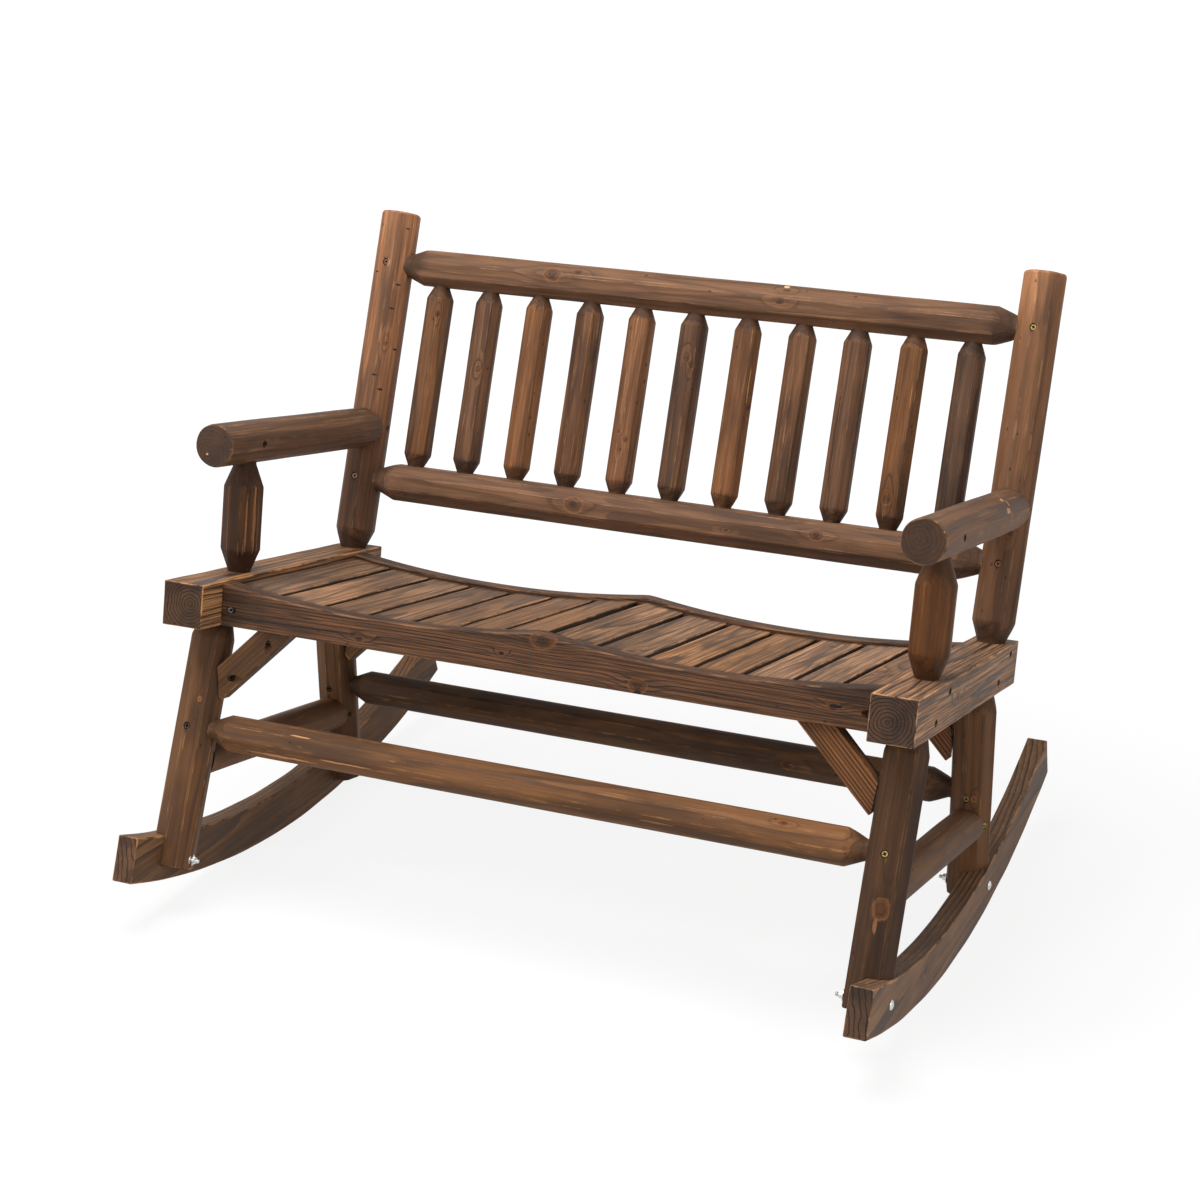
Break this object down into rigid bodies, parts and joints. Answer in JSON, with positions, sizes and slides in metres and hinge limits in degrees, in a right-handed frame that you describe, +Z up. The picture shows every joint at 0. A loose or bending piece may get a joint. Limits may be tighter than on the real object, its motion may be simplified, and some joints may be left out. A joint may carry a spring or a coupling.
{
  "type": "rocking bench",
  "caption": "Rustic log rocking bench for two: curved runners, splayed legs with stretchers and knee braces, scooped slatted seat, level arms and a leaning spindle back.",
  "frame": {"origin": "on the floor under the middle of the bench, where the arcs of both rockers touch it at rest, midway between the rockers", "axes": "+X to the right of someone who stands in front and looks at the bench, +Y from its front to its back, +Z up; the seat leans back by 9.9 degrees at rest"},
  "size_m": [1.1288, 0.9714, 0.9234],
  "materials": {
    "sawn_timber": "carbonised fir, matt, grain open",
    "slat_timber": "carbonised fir, matt, grain open",
    "peeled_log": "peeled and scorched fir, satin",
    "spindle_timber": "hewn and scorched fir, satin",
    "zinc_bolt": "bright zinc plate",
    "zinc_screw": "yellow zinc plate"
  },
  "bodies": {
    "root": {"left_seat_beam": "sawn_timber", "right_seat_beam": "sawn_timber", "front_apron": "sawn_timber", "rear_apron": "sawn_timber", "front_cleat": "sawn_timber", "rear_cleat": "sawn_timber", "front_left_brace": "sawn_timber", "front_right_brace": "sawn_timber", "rear_left_brace": "sawn_timber", "rear_right_brace": "sawn_timber", "left_rocker": "sawn_timber", "right_rocker": "sawn_timber", "seat_slat_01": "slat_timber", "seat_slat_02": "slat_timber", "seat_slat_03": "slat_timber", "seat_slat_04": "slat_timber", "seat_slat_05": "slat_timber", "seat_slat_06": "slat_timber", "seat_slat_07": "slat_timber", "seat_slat_08": "slat_timber", "seat_slat_09": "slat_timber", "seat_slat_10": "slat_timber", "seat_slat_11": "slat_timber", "seat_slat_12": "slat_timber", "seat_slat_13": "slat_timber", "seat_slat_14": "slat_timber", "left_back_post": "peeled_log", "right_back_post": "peeled_log", "top_rail": "peeled_log", "bottom_rail": "peeled_log", "left_arm": "peeled_log", "right_arm": "peeled_log", "left_arm_post": "peeled_log", "right_arm_post": "peeled_log", "front_left_leg": "peeled_log", "front_right_leg": "peeled_log", "rear_left_leg": "peeled_log", "rear_right_leg": "peeled_log", "front_stretcher": "peeled_log", "rear_stretcher": "peeled_log", "left_stretcher": "peeled_log", "right_stretcher": "peeled_log", "spindle_01": "spindle_timber", "spindle_02": "spindle_timber", "spindle_03": "spindle_timber", "spindle_04": "spindle_timber", "spindle_05": "spindle_timber", "spindle_06": "spindle_timber", "spindle_07": "spindle_timber", "spindle_08": "spindle_timber", "spindle_09": "spindle_timber", "spindle_10": "spindle_timber", "spindle_11": "spindle_timber", "rocker_bolts": "zinc_bolt", "bolt_washers": "zinc_bolt", "bolt_nuts": "zinc_bolt", "pin_screws": "zinc_screw", "apron_screws": "zinc_screw", "brace_screws": "zinc_screw", "seat_screws": "zinc_screw"}
  },
  "joints": []
}
